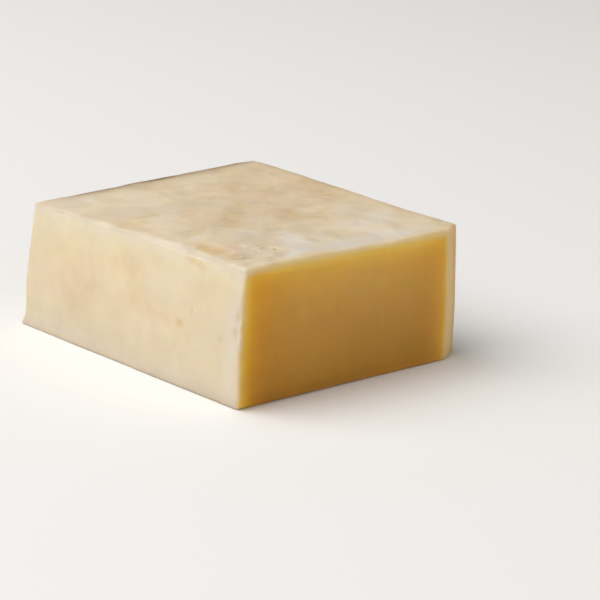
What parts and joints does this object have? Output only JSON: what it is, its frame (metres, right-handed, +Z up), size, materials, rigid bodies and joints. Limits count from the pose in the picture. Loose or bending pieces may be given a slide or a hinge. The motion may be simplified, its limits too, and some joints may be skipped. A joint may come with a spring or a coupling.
{
  "type": "cheddar chunk",
  "caption": "Rectangular chunk of hard cheese with a fresh cut face, pale dried sides, worn edges and a flat underside to rest on.",
  "frame": {"origin": "middle of the block's own box, on the surface it rests on", "axes": "+Z up; +X along the fresh cut face, which looks along -Y; +Y along the pale face, which looks along -X"},
  "size_m": [0.0996, 0.1116, 0.0454],
  "materials": {
    "cheese": "satin, slightly translucent"
  },
  "bodies": {
    "root": {"cheddar_chunk": "cheese"}
  },
  "joints": []
}
